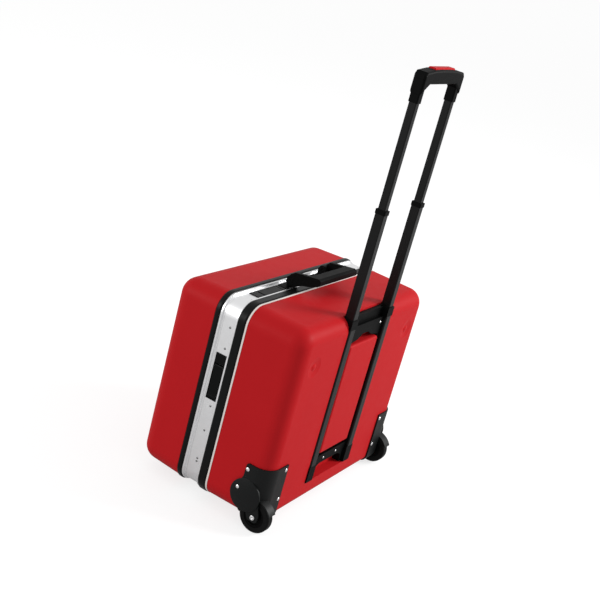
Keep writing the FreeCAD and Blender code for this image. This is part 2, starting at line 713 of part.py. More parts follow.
axle_head = rod("axle_head", "x", (S.cheek_outer_x, S.axle_y, AXLE_Z), 2.4, S.axle_radius + 1.4)
axle_head_soft = rounded("axle_head_soft", axle_head, 1.2,
                         lambda edge: edge.BoundBox.XMin > float(S.cheek_outer_x) + 2)
axle_socket = rod("axle_socket", "x", (S.cheek_outer_x + 0.8, S.axle_y, AXLE_Z), 3, 2.8)
left_axle = cut("left_axle", joined(
    "left_axle_whole", axle_head_soft,
    rod("axle_shaft", "x", (S.well_x + 1, S.axle_y, AXLE_Z), S.cheek_outer_x - S.well_x,
        S.axle_radius)), axle_socket)
node("wheel_axles", group("axle_pair", [left_axle, mirrored("right_axle", left_axle)]))

tyre_blank = rounded("tyre_blank", rod("tyre_rod", "x", (WHEEL_X[0], S.axle_y, AXLE_Z),
                                       S.wheel_width, S.wheel_radius), 4, lambda edge: True)
left_tyre = cut("left_tyre", tyre_blank,
                rod("tyre_bore", "x", (WHEEL_X[0] - 1, S.axle_y, AXLE_Z), S.wheel_width + 2,
                    S.hub_radius))
hub_blank = rod("hub_rod", "x", (WHEEL_X[0] + 1, S.axle_y, AXLE_Z), S.wheel_width - 2,
                S.hub_radius)
hub_cuts = [rod("hub_bore", "x", (WHEEL_X[0], S.axle_y, AXLE_Z), S.wheel_width,
                S.axle_radius + 0.6)]
for tag, start in (("in", WHEEL_X[0]), ("out", WHEEL_X[1] - S.bearing_width - 1)):
    hub_cuts.append(rod(f"hub_seat_{tag}", "x", (start, S.axle_y, AXLE_Z), S.bearing_width + 1,
                        S.bearing_radius))
    dish_start = WHEEL_X[0] if tag == "in" else WHEEL_X[1] - 4
    hub_cuts.append(cut(f"hub_dish_{tag}",
                        rod(f"hub_dish_out_{tag}", "x", (dish_start, S.axle_y, AXLE_Z), 4, 18.5),
                        rod(f"hub_dish_in_{tag}", "x", (dish_start, S.axle_y, AXLE_Z), 4, 10.5)))
left_hub = cut("left_hub", hub_blank, *hub_cuts)


def bearing(tag, start):
    """A bearing ring that turns on the axle with a running fit."""
    return cut(f"bearing_{tag}", rod(f"bearing_{tag}_rod", "x", (start, S.axle_y, AXLE_Z),
                                     S.bearing_width, S.bearing_radius),
               rod(f"bearing_{tag}_bore", "x", (start - 1, S.axle_y, AXLE_Z),
                   S.bearing_width + 2, S.axle_radius + S.running_gap))


left_bearings = group("left_bearings", [bearing("in", WHEEL_X[0] + 1),
                                        bearing("out", WHEEL_X[1] - S.bearing_width - 1)])
for part, left in (("tyre", left_tyre), ("hub", left_hub), ("bearings", left_bearings)):
    node(f"{part}_left", left)
    node(f"{part}_right", mirrored(f"{part}_right_copy", left))

# ---------------------------------------------------------------- trolley handle

outer_tubes = [bar_z(f"outer_tube_{number}", (x, S.tube_y), (S.outer_low, S.outer_top),
                     S.outer_width, S.outer_depth, S.tube_corner, S.outer_wall)
               for number, x in enumerate(TUBE_SIDES)]
node("outer_tubes", group("outer_tube_pair", outer_tubes))


def bracket(name, collar_z, crossbar_half, tube_holes, *more):
    """A moulding with a collar or foot at each tube and a crossbar between them."""
    half = S.recess_half - 0.5
    collars = [box(f"{name}_collar_{number}", x, BRACKET_Y, collar_z)
               for number, x in enumerate(((S.tube_x - 13.5, half), (-half, 13.5 - S.tube_x)))]
    crossbar = front_plate(f"{name}_crossbar", (BRACKET_Y[0], BRACKET_Y[1] - CROSSBAR_STEP),
                           half_outline(crossbar_half))
    return cut(f"{name}_cut", joined(f"{name}_whole", *collars, crossbar, *more), *tube_holes)


middle_holes = [bar_z(f"middle_hole_{number}", (x, S.tube_y), (S.outer_top - 40, S.bracket_top + 5),
                      S.middle_width + 0.3, S.middle_depth + 0.3, S.tube_corner - 0.8)
                for number, x in enumerate(TUBE_SIDES)]
outer_sockets = [bar_z(f"outer_socket_{number}", (x, S.tube_y), (S.outer_top - 60, S.outer_top),
                       S.outer_width + 0.1, S.outer_depth + 0.1, S.tube_corner)
                 for number, x in enumerate(TUBE_SIDES)]
top_ledge = box("top_ledge", (-S.tube_x, S.tube_x), (BRACKET_Y[0], BRACKET_Y[1] - 15),
                (S.outer_top - 1, S.bracket_top - 1))
top_half = [(12, 403), (30, 393), (62, S.panel_top + 3), (64.5, 372), (S.tube_x, 372),
            (S.tube_x, S.outer_top)]
node("top_bracket", bracket("top_bracket_body", (S.outer_top, S.bracket_top), top_half,
                            middle_holes + outer_sockets + [screw_holes], top_ledge))
foot_sockets = [bar_z(f"foot_socket_{number}", (x, S.tube_y), (S.outer_low, S.outer_low + 40),
                      S.outer_width + 0.1, S.outer_depth + 0.1, S.tube_corner)
                for number, x in enumerate(TUBE_SIDES)]
bottom_half = [(40, 92), (56, 84), (60, S.bracket_low), (S.tube_x, S.bracket_low),
               (S.tube_x, 113)]
node("bottom_bracket", bracket("bottom_bracket_body", (S.bracket_low, S.outer_low), bottom_half,
                               foot_sockets + [screw_holes]))

middle_tubes = [bar_z(f"middle_tube_{number}", (x, S.tube_y), (S.middle_low, S.middle_top),
                      S.middle_width, S.middle_depth, S.tube_corner - 1, S.middle_wall)
                for number, x in enumerate(TUBE_SIDES)]
upper_tubes = [bar_z(f"upper_tube_{number}", (x, S.tube_y), (S.upper_low, S.upper_top),
                     S.upper_width, S.upper_depth, S.tube_corner - 1, S.upper_wall)
               for number, x in enumerate(TUBE_SIDES)]
PIN_RADIUS = 2.5
PIN_LENGTH = 9.0


def pin_rod(name, z, wall_y, radius, length):
    """A lock pin, or its hole, along +Y to wall_y, in both tubes."""
    return [rod(f"{name}_{number}", "y", (x, wall_y - length, z), length, radius)
            for number, x in enumerate(TUBE_SIDES)]


MIDDLE_PIN_Z = S.middle_low + 12
UPPER_PIN_Z = S.upper_low + 12
middle_pin_y = S.tube_y + S.outer_depth / 2 - S.outer_wall - 0.2
upper_pin_y = S.tube_y + S.middle_depth / 2 - S.middle_wall - 0.2
PIN_PLAY = 0.06
node("middle_tubes", cut("middle_tubes_cut", group("middle_tube_pair", middle_tubes),
                         *pin_rod("middle_pin_hole", MIDDLE_PIN_Z, middle_pin_y + 3,
                                  PIN_RADIUS + PIN_PLAY, 10)))
node("upper_tubes", cut("upper_tubes_cut", group("upper_tube_pair", upper_tubes),
                        *pin_rod("upper_pin_hole", UPPER_PIN_Z, upper_pin_y + 3,
                                 PIN_RADIUS + PIN_PLAY, 10)))
node("middle_lock_pins", group("middle_pins", pin_rod("middle_pin", MIDDLE_PIN_Z, middle_pin_y,
                                                      PIN_RADIUS, PIN_LENGTH)))
node("upper_lock_pins", group("upper_pins", pin_rod("upper_pin", UPPER_PIN_Z, upper_pin_y,
                                                    PIN_RADIUS, PIN_LENGTH)))


def sliders(name, tube_low, width, depth, pin_z, pin_y, stroke):
    """Plugs in the lower ends of a pair of tubes, each with a bore for its lock pin."""
    plugs = [bar_z(f"{name}_plug_{number}", (x, S.tube_y), (tube_low, tube_low + 26),
                   width, depth, 1.2) for number, x in enumerate(TUBE_SIDES)]
    bores = pin_rod(f"{name}_bore", pin_z, pin_y + 4, PIN_RADIUS + PIN_PLAY,
                    PIN_LENGTH + stroke + 5)
    return cut(f"{name}_cut", group(f"{name}_plugs", plugs), *bores)


node("middle_sliders", sliders("middle_slider", S.middle_low,
                               S.middle_width - 2 * S.middle_wall,
                               S.middle_depth - 2 * S.middle_wall, MIDDLE_PIN_Z, middle_pin_y,
                               3.2))
node("upper_sliders", sliders("upper_slider", S.upper_low, S.upper_width - 2 * S.upper_wall,
                              S.upper_depth - 2 * S.upper_wall, UPPER_PIN_Z, upper_pin_y, 3.2))

collar_z = (S.middle_top - 7, S.middle_top + 2)
collars = [bar_z(f"collar_{number}", (x, S.tube_y), collar_z, S.middle_width + 2.6,
                 S.middle_depth + 2.6, S.tube_corner) for number, x in enumerate(TUBE_SIDES)]
collar_cuts = [bar_z(f"collar_seat_{number}", (x, S.tube_y), (collar_z[0] - 1, S.middle_top),
                     S.middle_width, S.middle_depth, S.tube_corner - 1)
               for number, x in enumerate(TUBE_SIDES)]
collar_cuts += [bar_z(f"collar_bore_{number}", (x, S.tube_y), (collar_z[0], collar_z[1] + 1),
                      S.upper_width + 0.3, S.upper_depth + 0.3, S.tube_corner - 1)
                for number, x in enumerate(TUBE_SIDES)]
node("middle_collars", cut("middle_collars_cut", group("collar_pair", collars), *collar_cuts))

# ---------------------------------------------------------------- grip and release button

GRIP_Y = (S.tube_y - S.grip_depth / 2, S.tube_y + S.grip_depth / 2)
grip_blank = front_plate("grip_blank", GRIP_Y, half_outline(
    [(60, S.grip_under), (S.grip_half, 926.5), (S.grip_half, S.grip_shoulder - 7),
     (S.grip_half - 6, S.grip_shoulder), (S.button_half + 4, S.grip_crown),
     (20, S.grip_crown + 1)]))
grip_soft = soften(grip_blank, 5, lambda edge: (lies_at(edge, "y", GRIP_Y[0])
                                                or lies_at(edge, "y", GRIP_Y[1]))
                   and edge.BoundBox.ZMin > float(S.grip_low) + 0.5)
sleeves = [bar_z(f"grip_sleeve_{number}", (x, S.tube_y), (S.grip_low - 15, S.grip_low + 16),
                 S.upper_width + 2.6, S.upper_depth + 4, S.tube_corner)
           for number, x in enumerate(TUBE_SIDES)]
grip_sockets = [bar_z(f"grip_socket_{number}", (x, S.tube_y), (S.grip_low - 16, S.upper_top + 0.2),
                      S.upper_width, S.upper_depth, S.tube_corner - 1)
                for number, x in enumerate(TUBE_SIDES)]
YOKE_Z = (957, 961)
yoke_room = box("yoke_room", (-86, 86), (S.tube_y - 5, S.tube_y + 5), (949, YOKE_Z[1] + 0.6))
rod_rooms = [rod(f"rod_room_{number}", "z", (x, S.tube_y, S.upper_top - 4), 20,
                 S.push_rod_radius + 0.6) for number, x in enumerate(TUBE_SIDES)]
CAP_LOW = YOKE_Z[1] - 0.5
cap_room = box("cap_room", (-S.button_half, S.button_half), (S.tube_y - 8.5, S.tube_y + 8.5),
               (CAP_LOW - S.button_travel - 0.3, 990))
GRIP_SCREWS = [(x, S.tube_y - 6.5, S.grip_under, "z", -1) for x in (-52, 52)]
grip_screw_holes = rivet_holes("grip_screw_holes", GRIP_SCREWS, 16)
node("grip_screws", rivets("grip_screw_set", GRIP_SCREWS, 16, 3, 1))
grip_solid = cut("grip_solid", joined("grip_whole", grip_soft, *sleeves), *grip_sockets,
                 yoke_room, *rod_rooms, cap_room, grip_screw_holes)
below = box("grip_below", (-120, 120), (100, 180), (890, S.grip_split))
above = box("grip_above", (-120, 120), (100, 180), (S.grip_split + 0.1, 990))
node("grip_lower", shared("grip_lower_part", grip_solid, below))
node("grip_upper", shared("grip_upper_part", grip_solid, above))

cap_gap = 0.4
cap = box("button_cap", (cap_gap - S.button_half, S.button_half - cap_gap),
          (S.tube_y - 8.5 + cap_gap, S.tube_y + 8.5 - cap_gap), (CAP_LOW, S.grip_crown + 3.5))
cap_soft = rounded("button_cap_soft", cap, 2.5, lambda edge: lies_at(edge, "z", S.grip_crown + 3.5))
yoke = box("button_yoke", (-84.5, 84.5), (S.tube_y - 4, S.tube_y + 4), YOKE_Z)
node("release_button", joined("button_whole", cap_soft, yoke))
rod_low = S.upper_low + 32
node("push_rods", group("push_rod_pair", [
    rod(f"push_rod_{number}", "z", (x, S.tube_y, rod_low), YOKE_Z[0] - rod_low, S.push_rod_radius)
    for number, x in enumerate(TUBE_SIDES)]))


def coil_spring(name, x, y, z, height, radius, wire, turns):
    """A helical spring that stands on a point."""
    helix = Part.makeHelix(height / turns, height - 2 * wire, radius)
    start = Part.makeCircle(wire, Vector(radius, 0, 0), Vector(0, 1, 0))
    shape = Part.Wire(helix).makePipeShell([Part.Wire(start)], True, True)
    shape.translate(Vector(x, y, z + wire))
    return shape


springs = doc.addObject("Part::Feature", "button_spring_set")
springs.Shape = Part.makeCompound([
    coil_spring("spring", x, float(S.tube_y), 949.05, YOKE_Z[0] - 949.1, 3.2, 0.6, 3)
    for x in (-30, 30)])
node("button_springs", springs)

# ---------------------------------------------------------------- latches

SEAM_Z = SIDE_LATCH_Z[1] - S.latch_block
PIVOT_X, PIVOT_UP_Z = BAND_X - 1.4, SEAM_Z - 5.5
HEEL_RADIUS = 3.2
LEVER_Y = (LATCH_Y[0] + 2.6, LATCH_Y[1] - 2.6)
LATCH_PIN_RADIUS = 1.2


def latch_tray():
    """The fixed part: a tray with a block at one end and a channel for the tongue."""
    tray = box("latch_tray_box", (BAND_X - S.latch_sunk, BAND_X + S.latch_proud), LATCH_Y,
               SIDE_LATCH_Z)
    soft = rounded("latch_tray_soft", tray, 0.8,
                   lambda edge: lies_at(edge, "x", BAND_X + S.latch_proud))
    pocket = box("latch_pocket", (BAND_X - 5.2, BAND_X + 5), (LEVER_Y[0] - 0.4, LEVER_Y[1] + 0.4),
                 (SIDE_LATCH_Z[0] + 2.4, SEAM_Z))
    channel = box("latch_channel", (BAND_X - 9, BAND_X - 5), (LATCH_Y[0] - 1, LATCH_Y[1] - 3.5),
                  (SEAM_Z - 23, SEAM_Z - 1))
    pin_hole = rod("latch_pin_hole", "y", (PIVOT_X, LATCH_Y[0] + 0.8, PIVOT_UP_Z),
                   S.latch_width - 1.6, LATCH_PIN_RADIUS + 0.02)
    return cut("latch_tray", soft, pocket, channel, pin_hole)


def latch_lever():
    """The lever that lies flush in the tray and swings out about its pin."""
    low = SIDE_LATCH_Z[0] + 3
    plate = box("lever_plate", (BAND_X - 4, BAND_X + S.latch_proud), LEVER_Y, (low, PIVOT_UP_Z))
    soft = rounded("lever_plate_soft", plate, 1,
                   lambda edge: lies_at(edge, "x", BAND_X + S.latch_proud) and
                   not lies_at(edge, "z", PIVOT_UP_Z))
    heel = rod("lever_heel", "y", (PIVOT_X, LEVER_Y[0], PIVOT_UP_Z), S.latch_width - 5.2,
               HEEL_RADIUS)
    scoop = rod("lever_scoop", "y", (BAND_X + 11, LEVER_Y[0] - 1, low + 9), S.latch_width, 10)
    bore = rod("lever_bore", "y", (PIVOT_X, LEVER_Y[0] - 1, PIVOT_UP_Z), S.latch_width,
               LATCH_PIN_RADIUS + S.running_gap)
    return cut("latch_lever", joined("lever_whole", soft, heel), scoop, bore)


def latch_tongue():
    """The flat tongue that slides across the joint between the case's halves."""
    tongue = box("tongue_box", (BAND_X - 8.6, BAND_X - 6),
                 (S.parting_y - S.tongue_reach, LATCH_Y[1] - 3.8 - S.tongue_stroke),
                 (SEAM_Z - 22.2, SEAM_Z - 1.8))
    return rounded("latch_tongue", tongue, 0.8,
                   lambda edge: lies_at(edge, "y", S.parting_y - S.tongue_reach))


def latch_keeper():
    """The lid's socket for a tongue, riveted inside the lid's lip."""
    lip = BAND_X - (LIP_INNER - S.band_inset)
    block = box("keeper_block", (lip - 6.4, lip), (S.parting_y - 17, S.parting_y - 0.8),
                (SEAM_Z - 26, SEAM_Z + 2))
    pocket = box("keeper_pocket", (BAND_X - 9.1, BAND_X - 5.5),
                 (S.parting_y - S.tongue_reach - 1, S.parting_y), (SEAM_Z - 23, SEAM_Z - 1))
    return cut("latch_keeper", block, pocket)


def latch_pin():
    return rod("latch_pin", "y", (PIVOT_X, LATCH_Y[0] + 0.8, PIVOT_UP_Z), S.latch_width - 1.6,
               LATCH_PIN_RADIUS)


ONTO_TOP = FreeCAD.Rotation(Vector(0, 1, 0), -90)


def four_latch_pieces(name, side_left):
    """A latch piece in its four places: both sides of the case and both ends of its top."""
    top_right = turned(f"{name}_top_right", side_left, ONTO_TOP,
                       S.side_latch_z - S.top_latch_x, 0, BAND_TOP - BAND_X)
    return {"side_left": side_left, "side_right": mirrored(f"{name}_side_right", side_left),
            "top_right": top_right, "top_left": mirrored(f"{name}_top_left", top_right)}


for part, make in (("latch_tray", latch_tray), ("latch_lever", latch_lever),
                   ("latch_tongue", latch_tongue)):
    for spot, piece in four_latch_pieces(part, make()).items():
        node(f"{part}_{spot}", piece)
node("latch_pins", group("latch_pin_set", four_latch_pieces("latch_pin", latch_pin()).values()))
node("latch_keepers", group("keeper_set",
                            four_latch_pieces("latch_keeper", latch_keeper()).values()))

# ---------------------------------------------------------------- carrying handle

HANDLE_PIN_RADIUS = 3
lug_x = (S.arm_outer_x - S.arm_width - 14, S.arm_outer_x - S.arm_width - 0.3)
arm_x = (S.arm_outer_x - S.arm_width, S.arm_outer_x)
handle_plate = box("handle_plate_box", (-90, 90), LATCH_Y, (BAND_TOP, BAND_TOP + 2))
left_lug = soften(side_plate("handle_lug", lug_x, [
    (S.pivot_y - 12, BAND_TOP + 1), (S.pivot_y - 12, S.pivot_z - 1), (S.pivot_y - 7, S.pivot_z + 8),
    (S.pivot_y + 4, S.pivot_z + 9), (S.pivot_y + 9, S.pivot_z), (S.pivot_y + 6, BAND_TOP + 1)]),
    4, lambda edge: runs_along(edge, "x") and edge.BoundBox.ZMin > float(S.pivot_z) - 3)
pivot_holes = [rod(f"pivot_hole_{number}", "x", (start, S.pivot_y, S.pivot_z), 40,
                   HANDLE_PIN_RADIUS) for number, start in enumerate((45, -85))]
node("handle_base", cut("handle_base_cut", joined("handle_base_whole", handle_plate, left_lug,
                                                  mirrored("right_lug", left_lug)),
                        *pivot_holes))
pin_start = lug_x[0] + 1
left_handle_pin = rod("handle_pin", "x", (pin_start, S.pivot_y, S.pivot_z),
                      arm_x[1] - 1 - pin_start, HANDLE_PIN_RADIUS)
node("handle_pins", group("handle_pin_pair", [left_handle_pin,
                                              mirrored("right_handle_pin", left_handle_pin)]))
ARM_OUTLINE = [(-33, 464), (-31.5, 474), (-16, 489), (42, 497), (48, 494), (49, 484), (44, 480),
               (24, 472), (8, 468), (-12, 457.5), (-27, 457.5)]
left_arm = soften(side_plate("handle_arm", arm_x, ARM_OUTLINE), 1.5,
                  lambda edge: runs_along(edge, "x"))
bar_outline = [(19, 482), (17, 491), (20, 494), (42, 497), (48, 494), (49, 484), (44, 480),
               (24, 479.5)]
handle_bar = soften(side_plate("handle_bar", (1 - arm_x[1], arm_x[1] - 1), bar_outline), 1.5,
                    lambda edge: runs_along(edge, "x"))
arm_holes = [rod(f"arm_hole_{number}", "x", (start, S.pivot_y, S.pivot_z), 40,
                 HANDLE_PIN_RADIUS + S.running_gap) for number, start in enumerate((45, -85))]
node("carry_handle", cut("carry_handle_cut", joined("carry_handle_whole", left_arm,
                                                    mirrored("right_arm", left_arm), handle_bar),
                         *arm_holes))

# ---------------------------------------------------------------- lid hinges and feet

LEAF_Z = (BAND_BOTTOM - 1.6, BAND_BOTTOM)


def hinge_leaf(name, start, plate_y, web_y, spans, bore_radius):
    """One leaf: a plate on the frame, and the knuckles of its own stretches of the pin."""
    end = start + S.hinge_length
    pieces = [box(f"{name}_plate", (start, end), plate_y, LEAF_Z)]
    for number, (low, high) in enumerate(spans):
        x = (start + low, start + high)
        pieces.append(box(f"{name}_web_{number}", x, web_y, (LEAF_Z[0] - 0.6, LEAF_Z[1])))
        pieces.append(rod(f"{name}_knuckle_{number}", "x", (x[0], S.hinge_y, S.hinge_z),
                          high - low, S.knuckle_radius))
    bore = rod(f"{name}_bore", "x", (start - 1, S.hinge_y, S.hinge_z), S.hinge_length + 2,
               bore_radius)
    return cut(name, joined(f"{name}_whole", *pieces), bore)


leaf_clear = S.knuckle_radius + 0.5
base_leaves = [hinge_leaf(f"base_leaf_{number}", start, (S.hinge_y + leaf_clear, S.parting_y + 20),
                          (S.hinge_y + 0.8, S.hinge_y + leaf_clear + 1), [(17, 33)],
                          S.hinge_pin_radius)
               for number, start in enumerate(HINGE_ENDS)]
lid_leaves = [hinge_leaf(f"lid_leaf_{number}", start, (S.parting_y - 8.6, S.hinge_y - leaf_clear),
                         (S.hinge_y - leaf_clear - 1, S.hinge_y - 0.8), [(0, 16.7), (33.3, 50)],
                         S.hinge_pin_radius + S.running_gap)
              for number, start in enumerate(HINGE_ENDS)]
node("base_hinge_leaves", group("base_leaf_set", base_leaves))
node("lid_hinge_leaves", group("lid_leaf_set", lid_leaves))
node("hinge_pins", group("hinge_pin_set", [
    rod(f"hinge_pin_{number}", "x", (start, S.hinge_y, S.hinge_z), S.hinge_length,
        S.hinge_pin_radius) for number, start in enumerate(HINGE_ENDS)]))

foot_blank = rounded("foot_blank", rod("foot_rod", "z", (S.foot_x, S.foot_y, 0), 30,
                                       S.foot_radius), 2, lambda edge: lies_at(edge, "z", 0))
left_foot = cut("left_foot", foot_blank, lid_solid)
node("feet", group("foot_pair", [left_foot, mirrored("right_foot", left_foot)]))


# ---------------------------------------------------------------- checks and files

doc.recompute()
faults = [f"{thing.Label}: {thing.State}" for thing in doc.Objects
          if {"Invalid", "Error"} & set(thing.State)]
for name, thing in nodes.items():
    shape = thing.Shape
    if shape.isNull() or not shape.isValid() or not shape.Solids:
        faults.append(f"{name}: no valid solid")
    print(f"{name:22s} solids {len(shape.Solids):3d} volume {shape.Volume:12.1f}")
if faults:
    raise RuntimeError("; ".join(faults))
os.makedirs("parts", exist_ok=True)
for name, thing in nodes.items():
    thing.Shape.exportStep(f"parts/{name}.step")
print(len(nodes), "nodes written")
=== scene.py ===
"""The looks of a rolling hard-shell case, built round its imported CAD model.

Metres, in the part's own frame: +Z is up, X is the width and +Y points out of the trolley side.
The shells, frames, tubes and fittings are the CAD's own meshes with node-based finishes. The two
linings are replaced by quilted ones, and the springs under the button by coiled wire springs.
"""
import json
import math

import bmesh
import bpy
from mathutils import Matrix, Vector


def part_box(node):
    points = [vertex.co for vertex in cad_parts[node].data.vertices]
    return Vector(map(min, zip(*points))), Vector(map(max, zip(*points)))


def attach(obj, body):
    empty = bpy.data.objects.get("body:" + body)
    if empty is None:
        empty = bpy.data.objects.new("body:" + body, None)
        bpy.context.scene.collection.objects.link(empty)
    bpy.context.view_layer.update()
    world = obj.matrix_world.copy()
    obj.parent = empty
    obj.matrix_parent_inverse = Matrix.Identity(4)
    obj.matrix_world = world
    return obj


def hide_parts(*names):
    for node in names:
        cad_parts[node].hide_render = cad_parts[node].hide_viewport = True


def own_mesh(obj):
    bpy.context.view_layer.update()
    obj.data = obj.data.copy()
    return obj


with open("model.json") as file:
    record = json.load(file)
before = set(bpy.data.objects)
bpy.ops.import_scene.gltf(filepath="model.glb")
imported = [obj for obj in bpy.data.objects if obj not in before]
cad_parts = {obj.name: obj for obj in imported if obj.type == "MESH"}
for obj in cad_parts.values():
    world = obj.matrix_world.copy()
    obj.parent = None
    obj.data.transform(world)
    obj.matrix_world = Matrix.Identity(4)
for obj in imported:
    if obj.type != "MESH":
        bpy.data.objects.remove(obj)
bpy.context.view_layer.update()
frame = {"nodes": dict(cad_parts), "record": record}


# ---------------------------------------------------------------- camera

EYE = Vector((2.0364, 1.0301, 1.2354))
AIM = Vector((0.1607, 0.055, 0.4711))
ROLL = 0.267
LENS = 66.72


def add_camera():
    """The photograph's view: from behind and to the left, with the camera rolled."""
    ahead = (AIM - EYE).normalized()
    right = ahead.cross(Vector((0, 0, 1))).normalized()
    down = ahead.cross(right)
    across = math.cos(ROLL) * right - math.sin(ROLL) * down
    below = math.sin(ROLL) * right + math.cos(ROLL) * down
    turn = Matrix((across, -below, -ahead)).transposed()
    data = bpy.data.cameras.new("camera")
    data.lens = LENS
    data.sensor_width = 36
    camera = bpy.data.objects.new("camera", data)
    camera.matrix_world = Matrix.Translation(EYE) @ turn.to_4x4()
    bpy.context.scene.collection.objects.link(camera)
    bpy.context.scene.camera = camera


add_camera()


# ---------------------------------------------------------------- materials

class Nodes:
    """A short way to build a material's node tree round its Principled shader."""

    def __init__(self, name):
        self.material = bpy.data.materials.new(name)
        self.material.use_nodes = True
        self.tree = self.material.node_tree
        self.shader = next(n for n in self.tree.nodes if n.type == "BSDF_PRINCIPLED")
        self.place = self.add("ShaderNodeTexCoord").outputs["Object"]

    def add(self, kind, **settings):
        node = self.tree.nodes.new(kind)
        for key, value in settings.items():
            setattr(node, key, value)
        return node

    def link(self, source, target):
        self.tree.links.new(source, target)

    def put(self, socket, value):
        self.shader.inputs[socket].default_value = value

    def scaled(self, stretch):
        """Object coordinates, stretched along each axis."""
        mapping = self.add("ShaderNodeMapping")
        mapping.inputs["Scale"].default_value = stretch
        self.link(self.place, mapping.inputs["Vector"])
        return mapping.outputs["Vector"]

    def noise(self, scale, detail=3.0, stretch=(1, 1, 1), roughness=0.55):
        node = self.add("ShaderNodeTexNoise")
        node.inputs["Scale"].default_value = scale
        node.inputs["Detail"].default_value = detail
        node.inputs["Roughness"].default_value = roughness
        self.link(self.scaled(stretch), node.inputs["Vector"])
        return node.outputs["Fac"]

    def cells(self, scale, stretch=(1, 1, 1)):
        node = self.add("ShaderNodeTexVoronoi", feature="SMOOTH_F1")
        node.inputs["Scale"].default_value = scale
        self.link(self.scaled(stretch), node.inputs["Vector"])
        return node.outputs["Distance"]

    def mapped(self, value, low, high, from_low=0.0, from_high=1.0):
        node = self.add("ShaderNodeMapRange")
        for key, number in (("From Min", from_low), ("From Max", from_high),
                            ("To Min", low), ("To Max", high)):
            node.inputs[key].default_value = number
        self.link(value, node.inputs["Value"])
        return node.outputs["Result"]

    def blend(self, share, first, second):
        """A colour between two colours, or between a socket's colour and another."""
        node = self.add("ShaderNodeMix", data_type="RGBA")
        for slot, colour in ((6, first), (7, second)):
            if isinstance(colour, bpy.types.NodeSocket):
                self.link(colour, node.inputs[slot])
            else:
                node.inputs[slot].default_value = (*colour, 1)
        self.link(share, node.inputs[0])
        return node.outputs[2]

    def bump(self, height, distance, strength=1.0, under=None):
        node = self.add("ShaderNodeBump")
        node.inputs["Distance"].default_value = distance
        node.inputs["Strength"].default_value = strength
        self.link(height, node.inputs["Height"])
        if under is not None:
            self.link(under, node.inputs["Normal"])
        return node.outputs["Normal"]

    def edge(self, radius):
        """A normal that rounds sharp edges by a radius."""
        node = self.add("ShaderNodeBevel", samples=4)
        node.inputs["Radius"].default_value = radius
        return node.outputs["Normal"]

    def colour(self, socket):
        self.link(socket, self.shader.inputs["Base Color"])

    def rough(self, socket):
        self.link(socket, self.shader.inputs["Roughness"])

    def normal(self, socket):
        self.link(socket, self.shader.inputs["Normal"])


def moulded(name, dark, light, rough, grain, depth, edge, gloss=0.5):
    """Moulded plastic or rubber: a grained skin, slightly uneven in colour and in gloss."""
    m = Nodes(name)
    m.colour(m.blend(m.noise(9, 4), dark, light))
    m.rough(m.mapped(m.noise(60, 4), rough - 0.05, rough + 0.06))
    m.put("Specular IOR Level", gloss)
    m.normal(m.bump(m.cells(grain), depth, 0.6, m.bump(m.noise(grain * 2.5), depth / 2, 0.5,
                                                       m.edge(edge))))
    return m.material


def metal(name, dark, light, rough, stretch, edge, depth=2e-5, metallic=1.0):
    """Metal with a fine drawn or brushed grain along the axis that isn't stretched."""
    m = Nodes(name)
    grain = m.noise(90, 5, stretch, 0.7)
    m.colour(m.blend(grain, dark, light))
    m.rough(m.mapped(m.noise(35, 4, stretch), rough - 0.06, rough + 0.08))
    m.put("Metallic", metallic)
    m.normal(m.bump(grain, depth, 0.5, m.edge(edge)))
    return m.material


def woven(name, dark, light, pitch, depth):
    """A plain-woven cloth: crossed waves for the threads, with a soft sheen."""
    m = Nodes(name)
    threads = []
    for direction in ("X", "Z"):
        wave = m.add("ShaderNodeTexWave", wave_type="BANDS", bands_direction=direction)
        wave.inputs["Scale"].default_value = 0.314 / pitch
        wave.inputs["Distortion"].default_value = 0.6
        m.link(m.place, wave.inputs["Vector"])
        threads.append(wave.outputs["Fac"])
    weave = m.add("ShaderNodeMath", operation="MULTIPLY")
    m.link(threads[0], weave.inputs[0])
    m.link(threads[1], weave.inputs[1])
    m.colour(m.blend(weave.outputs[0], dark, light))
    m.put("Roughness", 0.9)
    m.put("Sheen Weight", 0.25)
    m.put("Specular IOR Level", 0.2)
    m.normal(m.bump(weave.outputs[0], depth, 0.8, m.bump(m.noise(700, 2), depth / 2, 0.4)))
    return m.material


